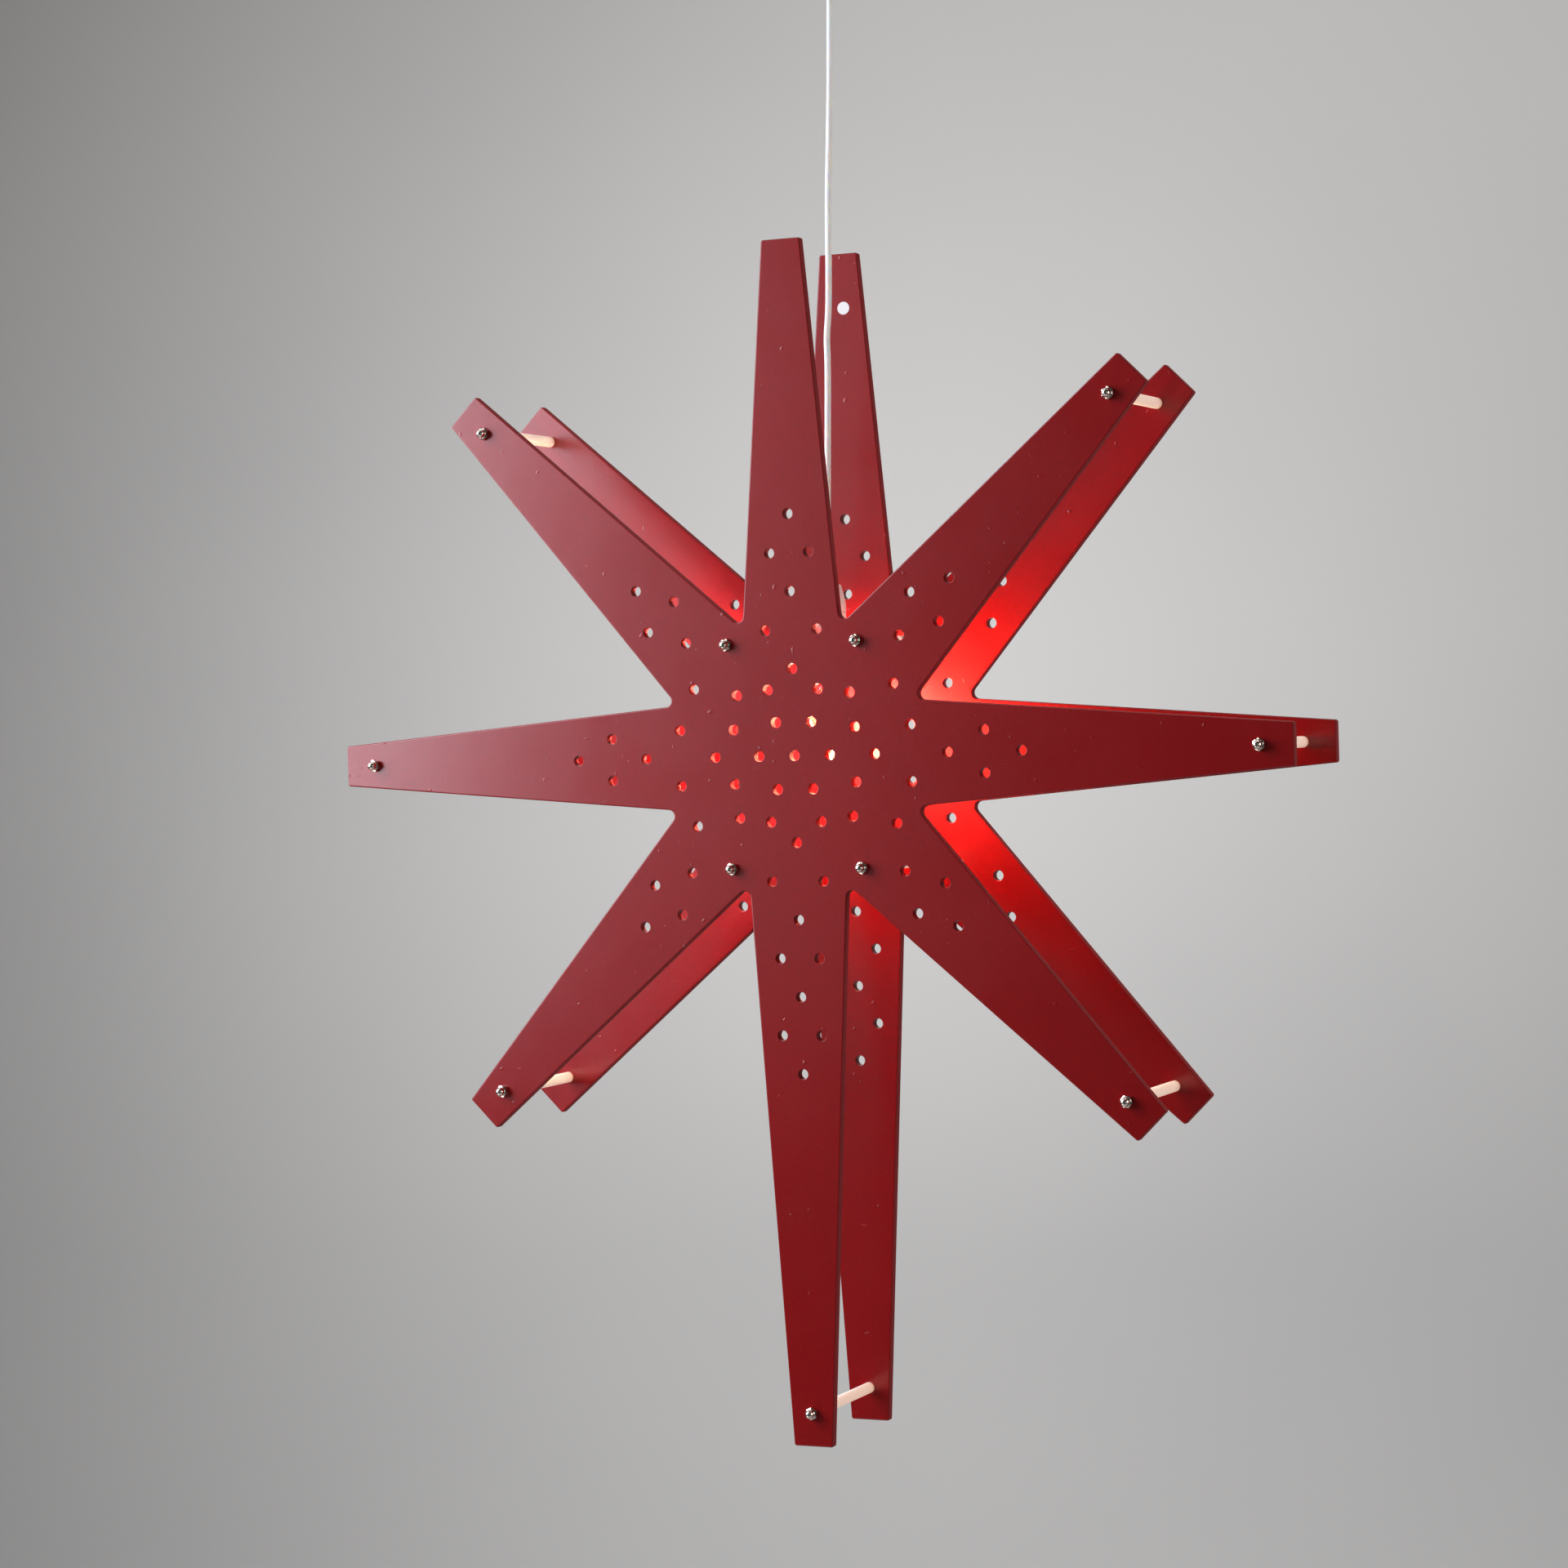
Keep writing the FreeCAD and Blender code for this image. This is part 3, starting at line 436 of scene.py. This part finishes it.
def round_outline(centre, radius, steps):
    """A hole's outline, clockwise, with the directions that face into the hole. It starts half a step
    round, so no corner is level with the hole's centre."""
    loop = []
    for step in range(steps):
        angle = -2 * math.pi * (step + 0.5) / steps
        out = Vector((math.cos(angle), math.sin(angle)))
        loop.append((centre + radius * out, -out))
    return loop


def smooth(mesh):
    mesh.polygons.foreach_set("use_smooth", [True] * len(mesh.polygons))


class Solid:
    """Points, their normals and faces, gathered in the star's axes."""

    def __init__(self):
        self.points = []
        self.normals = []
        self.faces = []

    def point(self, place, normal):
        self.points.append(HUNG @ Vector(place))
        self.normals.append((HUNG.to_3x3() @ Vector(normal)).normalized())
        return len(self.points) - 1

    def band(self, first, second):
        for k in range(len(first)):
            after = (k + 1) % len(first)
            self.faces.append((first[k], second[k], second[after], first[after]))

    def rim(self, loop, radius, steps, low_y, high_y):
        """The wall under an outline, its two rims rounded; returns its first and last rings."""
        stations = []                        # how far in, how far from the face, and the surface's angle
        for step in range(steps + 1):
            angle = math.pi / 2 * step / steps
            stations.append((radius * (1 - math.sin(angle)), radius * (1 - math.cos(angle)), angle))
        sections = [(inset, low_y + rise, angle, -1) for inset, rise, angle in stations]
        sections += [(inset, high_y - rise, angle, 1) for inset, rise, angle in reversed(stations)]
        rings = []
        for inset, y, angle, side in sections:
            ring = []
            for place, out in loop:
                moved = place - out * inset
                lean = out * math.sin(angle)
                ring.append(self.point((moved.x, y, moved.y), (lean.x, side * math.cos(angle), lean.y)))
            rings.append(ring)
        for first, second in zip(rings, rings[1:]):
            self.band(first, second)
        return rings[0], rings[-1]

    def flat(self, loops, side):
        """A flat face between rings: the outer one first, then its holes."""
        order = [k for ring in loops for k in ring]
        into_star = HUNG.inverted()
        flat = [[(into_star @ self.points[k]).xz.to_3d() for k in ring] for ring in loops]
        places = [place for ring in flat for place in ring]
        for a, b, c in tessellate_polygon(flat):
            area = (places[b] - places[a]).cross(places[c] - places[a]).z
            corners = (a, b, c) if area * side < 0 else (a, c, b)
            self.faces.append(tuple(order[k] for k in corners))

    def piece(self, name, node):
        """The finished piece, which rides on the star and stands for the CAD node."""
        mesh = bpy.data.meshes.new(name)
        mesh.from_pydata(self.points, [], self.faces)
        smooth(mesh)
        mesh.normals_split_custom_set_from_vertices(self.normals)
        return add_piece(name, mesh, node)


def add_piece(name, mesh, node):
    made = bpy.data.objects.new(name, mesh)
    scene.collection.objects.link(made)
    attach(made, "star")
    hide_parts(node)
    mesh.materials.append(finishes[slots[node]])
    return made


def plate(name, node, low_y, high_y):
    """A star-shaped board with its holes, whose walls have their own red."""
    board = Solid()
    rings = [board.rim(star_outline(), EDGE_R, EDGE_STEPS, low_y, high_y)]
    first_bore = len(board.faces)
    outlines = [round_outline(centre, LIGHT_HOLE_R, LIGHT_HOLE_SIDES) for centre in light_holes()]
    outlines += [round_outline(centre, BOLT_HOLE_R, BOLT_HOLE_SIDES) for centre in BOLTS]
    for outline in outlines:
        rings.append(board.rim(outline, HOLE_RIM_R, RIM_STEPS, low_y, high_y))
    bores = range(first_bore, len(board.faces))
    board.flat([first for first, last in rings], -1)
    board.flat([last for first, last in rings], 1)
    made = board.piece(name, node)
    made.data.materials.append(BORE_RED)
    for face in bores:
        made.data.polygons[face].material_index = 1


def turned(mesh_builder, profile, steps, radius_at=None):
    """Turns a closed profile of (radius, height) about Z, from its first axis point to its last."""
    rings = []
    for radius, height in profile:
        if radius == 0.0:
            rings.append([mesh_builder.verts.new((0.0, 0.0, height))] * steps)
            continue
        ring = []
        for step in range(steps):
            angle = 2 * math.pi * step / steps
            r, z = radius_at(angle, radius, height) if radius_at else (radius, height)
            ring.append(mesh_builder.verts.new((r * math.cos(angle), r * math.sin(angle), z)))
        rings.append(ring)
    for first, second in zip(rings, rings[1:]):
        for k in range(steps):
            after = (k + 1) % steps
            corners = []
            for corner in (first[k], first[after], second[after], second[k]):
                if corner not in corners:
                    corners.append(corner)
            mesh_builder.faces.new(corners)


def arc_profile(centre, radius, first, last, steps):
    """Points of (radius, height) along an arc, its angles in degrees from the outward direction."""
    points = []
    for step in range(steps + 1):
        angle = math.radians(first + (last - first) * step / steps)
        points.append((centre[0] + radius * math.cos(angle), centre[1] + radius * math.sin(angle)))
    return points


def acorn_nut():
    """A hexagon nut with a smooth dome, its upper edge chamfered all round, standing on Z = 0."""
    flat_r = 3.5 * MM
    corner_r = flat_r / math.cos(math.pi / 6)
    top_r = 3.05 * MM
    hex_h = 3.2 * MM
    slope = math.tan(math.radians(30))
    dome_r = 2.75 * MM
    fillet = 0.25 * MM
    top = 7.8 * MM
    bore_r = 2.05 * MM
    bore_h = 5.5 * MM
    bore = [(0.0, bore_h), (bore_r, bore_h), (bore_r, 0.0)]
    waist = arc_profile((dome_r + fillet, hex_h + fillet), fillet, 270, 180, 5)
    dome = arc_profile((0.0, top - dome_r), dome_r, 0, 90, 10)
    dome[-1] = (0.0, top)
    profile = bore + [(corner_r, 0.0), (corner_r, hex_h), (top_r, hex_h)] + waist + dome

    def hexagon(angle, radius, height):
        if radius != corner_r:
            return radius, height
        side_r = flat_r / math.cos(angle % (math.pi / 3) - math.pi / 6)
        chamfer = (side_r - top_r) * slope
        return side_r, height - chamfer if height else 0.0

    shape = bmesh.new()
    turned(shape, profile, NUT_SIDES, hexagon)
    return shape


def machine_screw():
    """A pan-head screw with a tapered cross recess; its head stands on Z = 0 and its shank goes down."""
    shank_r = 2.0 * MM
    end = -100.0 * MM
    head_r = 4.0 * MM
    head_h = 3.1 * MM
    dome_r = 5.0 * MM
    edge = 0.3 * MM
    side_h = head_h - dome_r + math.sqrt(dome_r ** 2 - head_r ** 2)
    rise = math.degrees(math.atan2(side_h - head_h + dome_r, head_r))
    dome = arc_profile((0.0, head_h - dome_r), dome_r, rise, 90, 8)
    dome[-1] = (0.0, head_h)
    profile = [(0.0, end), (shank_r - edge, end), (shank_r, end + edge), (shank_r, 0.0), (head_r - edge, 0.0),
               (head_r, edge)] + dome
    shape = bmesh.new()
    turned(shape, profile, SCREW_SIDES)
    return cut_away(shape, cross_mesh(head_h))


def cut_away(shape, tool_mesh):
    """The shape less the tool's solid; both are used up."""
    blank = bpy.data.objects.new("screw_blank", bpy.data.meshes.new("screw_blank"))
    shape.to_mesh(blank.data)
    shape.free()
    cutter = bpy.data.objects.new("cross_cutter", tool_mesh)
    for made in (blank, cutter):
        scene.collection.objects.link(made)
    cut = blank.modifiers.new("cross", "BOOLEAN")
    cut.operation = "DIFFERENCE"
    cut.solver = "EXACT"
    cut.object = cutter
    finished = bmesh.new()
    finished.from_object(blank, bpy.context.evaluated_depsgraph_get())
    bpy.data.objects.remove(blank)
    bpy.data.objects.remove(cutter)
    return finished


def cross_mesh(head_h):
    """The recess as a solid cross, narrower at its floor and standing out above the head."""
    depth = 1.7 * MM
    above = 1.0 * MM
    floor = (1.1 * MM, 0.30 * MM, head_h - depth)           # half length, half width, height
    mouth = (2.25 * MM, 0.50 * MM, head_h + above)
    points = []
    for long_half, short_half, z in (floor, mouth):
        quarter = [(long_half, -short_half), (long_half, short_half), (short_half, short_half)]
        for turn in range(4):
            for x, y in quarter:
                for _ in range(turn):
                    x, y = -y, x
                points.append((x, y, z))
    count = len(points) // 2
    faces = [tuple(range(count - 1, -1, -1)), tuple(range(count, 2 * count))]
    for k in range(count):
        after = (k + 1) % count
        faces.append((k, after, count + after, count + k))
    mesh = bpy.data.meshes.new("cross")
    mesh.from_pydata(points, [], faces)
    return mesh


def repeat(name, node, shape, places):
    """One piece made of copies of a shape, each set in place by a matrix in the star's axes. Edges that
    turn by more than SHARP degrees stay sharp."""
    bmesh.ops.recalc_face_normals(shape, faces=shape.faces)
    one = bpy.data.meshes.new(name + "_one")
    shape.to_mesh(one)
    shape.free()
    group = bmesh.new()
    for place in places:
        copy = one.copy()
        copy.transform(HUNG @ place)
        group.from_mesh(copy)
        bpy.data.meshes.remove(copy)
    mesh = bpy.data.meshes.new(name)
    group.to_mesh(mesh)
    group.free()
    bpy.data.meshes.remove(one)
    smooth(mesh)
    mesh.set_sharp_from_angle(angle=math.radians(SHARP))
    add_piece(name, mesh, node)


def stand_at(place, y, lean, turn=0.0):
    """Stands a Z-up shape on a plate's face: lean 90 faces the front, -90 the back."""
    upright = Matrix.Rotation(math.radians(lean), 4, "X") @ Matrix.Rotation(math.radians(turn), 4, "Z")
    return Matrix.Translation((place[0], y, place[1])) @ upright


plate("front_plate_fine", "front_plate", -OUTER_Y, -INNER_Y)
plate("back_plate_fine", "back_plate", INNER_Y, OUTER_Y)
nut_places = [stand_at(place, -OUTER_Y, 90, 90 + TIP_NUT_TURNS[arm]) for arm, place in TIP_BOLTS.items()]
nut_places += [stand_at(place, -OUTER_Y, 90, 90 + turn) for place, turn in zip(INNER_BOLTS, INNER_NUT_TURNS)]
repeat("acorn_nuts_fine", "acorn_nuts", acorn_nut(), nut_places)
screw_places = [stand_at(place, OUTER_Y, -90) for place in BOLTS]
repeat("machine_screws_fine", "machine_screws", machine_screw(), screw_places)


# --- light ------------------------------------------------------------------------------------
FLOOR_Z = -2.4
WALL_Y = 3.9


def soft_light(name, place, target, size, watts, colour):
    """A panel of light at place, facing target, so wide and high. The camera does not see it."""
    lamp = bpy.data.lights.new(name, "AREA")
    lamp.shape = "RECTANGLE"
    lamp.size, lamp.size_y = size
    lamp.energy = watts
    lamp.color = colour
    made = bpy.data.objects.new(name, lamp)
    scene.collection.objects.link(made)
    made.visible_camera = False
    aim(made, place, target)


# The window's panel stands close by on the left and gives the left arms their pale gloss.
soft_light("window", (-1.07, -0.76, -0.20), STAR, (0.93, 1.35), 29.5, (0.91, 0.95, 1.07))
soft_light("curtain", (-0.64, -1.43, -0.50), STAR, (0.22, 0.8), 0.35, (1.0, 0.97, 1.0))
soft_light("ceiling_panel", (-0.6, -1.2, 1.5), STAR, (1.0, 0.8), 3.0, (1.0, 0.97, 0.94))
soft_light("right_strip", (1.9, -0.7, -0.45), STAR, (0.30, 0.8), 2.0, (1.0, 0.95, 0.90))
soft_light("front_right", (1.75, -2.0, -0.25), STAR, (0.5, 1.2), 1.2, (1.0, 0.96, 0.93))
soft_light("low_panel", (-0.6, -0.72, -1.75), STAR, (0.6, 0.6), 1.6, (1.0, 0.97, 0.94))
soft_light("right_rim", (2.2, 0.45, -0.3), STAR, (1.0, 1.4), 16.0, (1.0, 0.97, 0.94))
soft_light("rear_fill", (-1.2, 1.9, 0.3), STAR, (1.2, 1.2), 9.0, (1.0, 0.98, 0.96))
soft_light("wall_wash", (0.1, 1.0, 1.5), (1.7, WALL_Y, -0.7), (2.4, 1.4), 64.0, (1.0, 0.975, 0.955))
soft_light("wall_glow", (-0.95, 2.2, -0.65), (-1.55, 3.58, -0.71), (0.5, 0.5), 11.0, (1.0, 0.985, 0.975))
soft_light("floor_wash", (-0.6, 0.4, 1.2), (0.0, 1.2, FLOOR_Z), (1.6, 1.6), 8.0, (1.0, 0.98, 0.965))

# How strongly the lamp shines from straight down, 0, to straight up, 1: upright filaments shine sideways
# more than down, and the foot and holder stand above them.
LAMP_PATTERN = [(0.0, 0.12), (0.36, 1.0), (0.66, 1.0), (0.93, 0.38), (0.97, 0.03)]


def shape_light(tree):
    """Gives a lamp's own node tree the up and down pattern."""
    heading = tree.nodes.new("ShaderNodeSeparateXYZ")
    tree.links.new(tree.nodes.new("ShaderNodeTexCoord").outputs["Normal"], heading.inputs["Vector"])
    height = tree.nodes.new("ShaderNodeMapRange")
    height.inputs["From Min"].default_value = -1.0
    tree.links.new(heading.outputs["Z"], height.inputs["Value"])
    pattern = tree.nodes.new("ShaderNodeValToRGB")
    fill_ramp(pattern.color_ramp, [(position, (strength,) * 3) for position, strength in LAMP_PATTERN])
    tree.links.new(height.outputs["Result"], pattern.inputs["Fac"])
    tree.links.new(pattern.outputs["Color"], tree.nodes["Emission"].inputs["Strength"])


def bulb_light():
    """The lit bulb's own lamp, at the middle of its glass, which moves with the bulb."""
    lamp = bpy.data.lights.new("bulb_glow", "POINT")
    lamp.energy = 6.8
    lamp.color = (1.0, 0.76, 0.48)
    lamp.shadow_soft_size = 0.016
    lamp.use_nodes = True
    shape_light(lamp.node_tree)
    glow = bpy.data.objects.new("bulb_glow", lamp)
    scene.collection.objects.link(glow)
    glass_low, glass_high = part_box("bulb_glass")
    glow.location = (glass_low + glass_high) / 2
    glow.visible_camera = False
    glow.visible_transmission = False
    glow.parent = frame["bodies"]["bulb"]


def surroundings():
    """A dim room for light and reflections, and a pale one behind the stage."""
    world = bpy.data.worlds.new("studio")
    scene.world = world
    world.use_nodes = True
    surround = world.node_tree.nodes["Background"]
    surround.inputs["Color"].default_value = (1.0, 0.99, 0.98, 1.0)
    seen = world.node_tree.nodes.new("ShaderNodeMapRange")
    seen.inputs["To Min"].default_value = 0.05
    seen.inputs["To Max"].default_value = 0.42
    ray = world.node_tree.nodes.new("ShaderNodeLightPath")
    world.node_tree.links.new(ray.outputs["Is Camera Ray"], seen.inputs["Value"])
    world.node_tree.links.new(seen.outputs["Result"], surround.inputs["Strength"])


bulb_light()
surroundings()
scene.view_settings.view_transform = "Standard"


# --- floor and backdrop -------------------------------------------------------------------------
def sweep():
    """A pale floor that curves up into a plain wall behind the star, both turned to face the camera."""
    bend = 0.9
    bend_steps = 16
    half_width = 6.0
    front_y = -7.0
    top_z = 3.0
    camera_side = 24.0                       # degrees
    profile = [(front_y, FLOOR_Z), (WALL_Y - bend, FLOOR_Z)]
    for k in range(1, bend_steps + 1):
        angle = math.radians(90.0 * k / bend_steps)
        profile.append((WALL_Y - bend + bend * math.sin(angle), FLOOR_Z + bend - bend * math.cos(angle)))
    profile.append((WALL_Y, top_z))
    corners = [(x, y, z) for y, z in profile for x in (-half_width, half_width)]
    faces = [(2 * k, 2 * k + 1, 2 * k + 3, 2 * k + 2) for k in range(len(profile) - 1)]
    mesh = bpy.data.meshes.new("sweep")
    mesh.from_pydata(corners, [], faces)
    smooth(mesh)
    made = bpy.data.objects.new("studio_sweep", mesh)
    scene.collection.objects.link(made)
    made.rotation_euler[2] = math.radians(camera_side)
    p = Paint("pale_studio", Roughness=0.85)
    p.into("Base Color", p.ramp(p.noise(0.8, 3.0), (0.3, (0.60, 0.60, 0.60)), (0.7, (0.64, 0.64, 0.635))))
    mesh.materials.append(p.material)


sweep()
